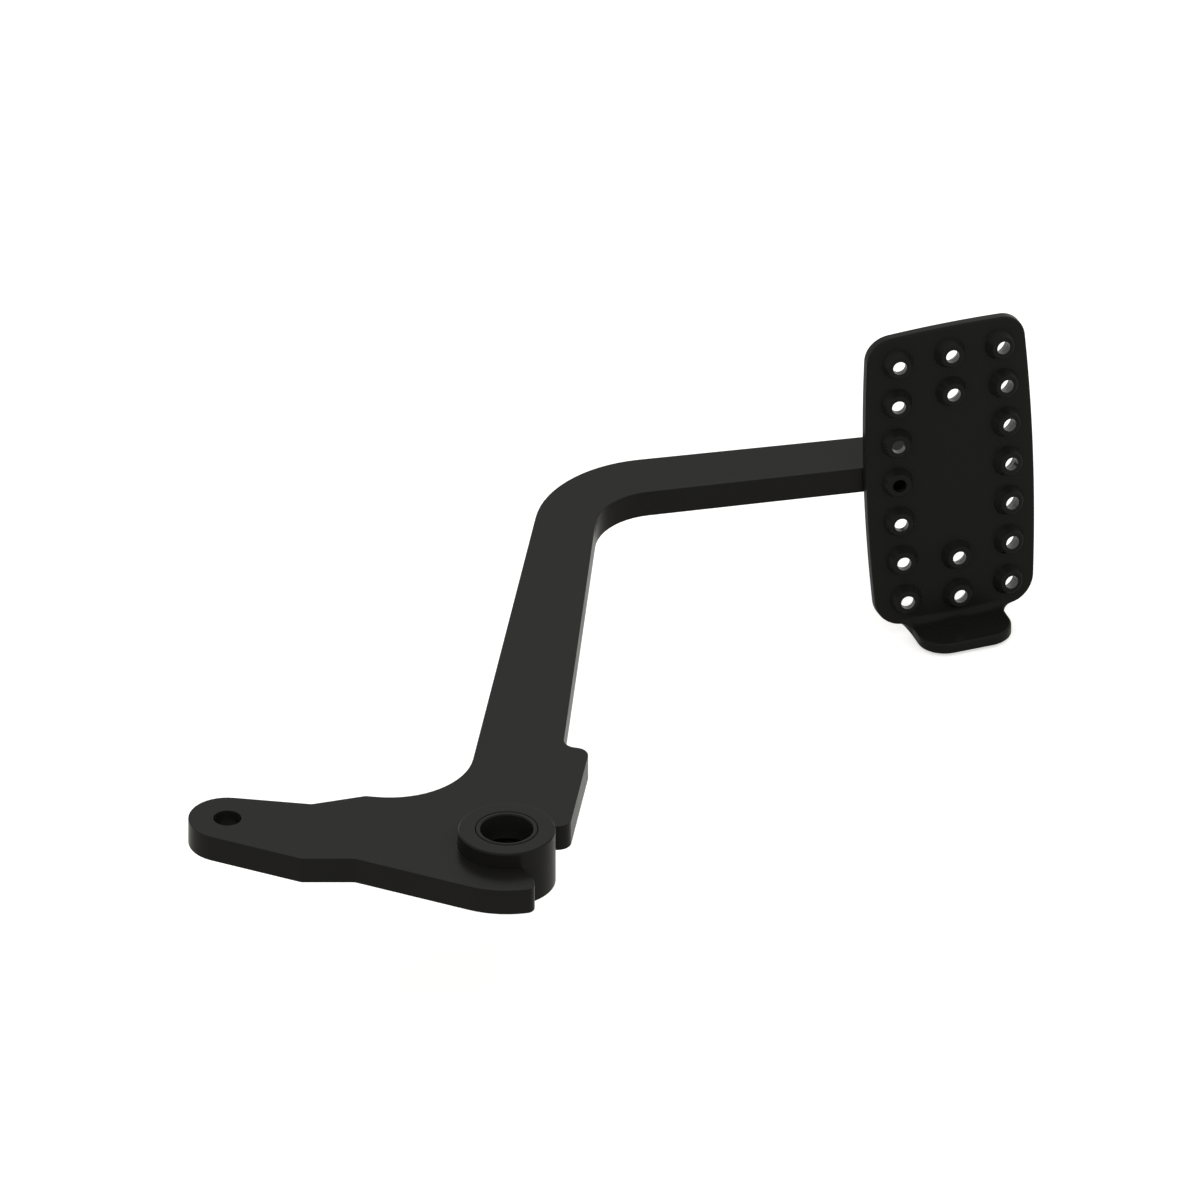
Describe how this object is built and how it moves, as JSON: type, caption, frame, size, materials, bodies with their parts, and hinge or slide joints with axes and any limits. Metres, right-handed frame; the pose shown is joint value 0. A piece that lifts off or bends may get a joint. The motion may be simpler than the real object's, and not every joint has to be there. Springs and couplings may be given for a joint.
{
  "type": "clutch pedal",
  "caption": "Foot pedal lever cut from flat plate, with a bushed pivot boss, a rod hole in its tail and a crowned grip pad with a folded lip.",
  "frame": {"origin": "on the pivot axis, at mid thickness of the lever plate", "axes": "+Z along the pivot axis, +Y from the pivot towards the elbow and pad, +X towards the pad's side"},
  "size_m": [0.3021, 0.3118, 0.1194],
  "materials": {
    "lever_finish": "satin black coating",
    "boss_finish": "satin black coating",
    "bush_liner": "black bearing liner",
    "pad_finish": "satin black coating"
  },
  "bodies": {
    "root": {"lever_plate": "lever_finish", "pivot_boss": "boss_finish", "upper_bush": "bush_liner", "lower_bush": "bush_liner", "pedal_pad": "pad_finish"}
  },
  "joints": []
}
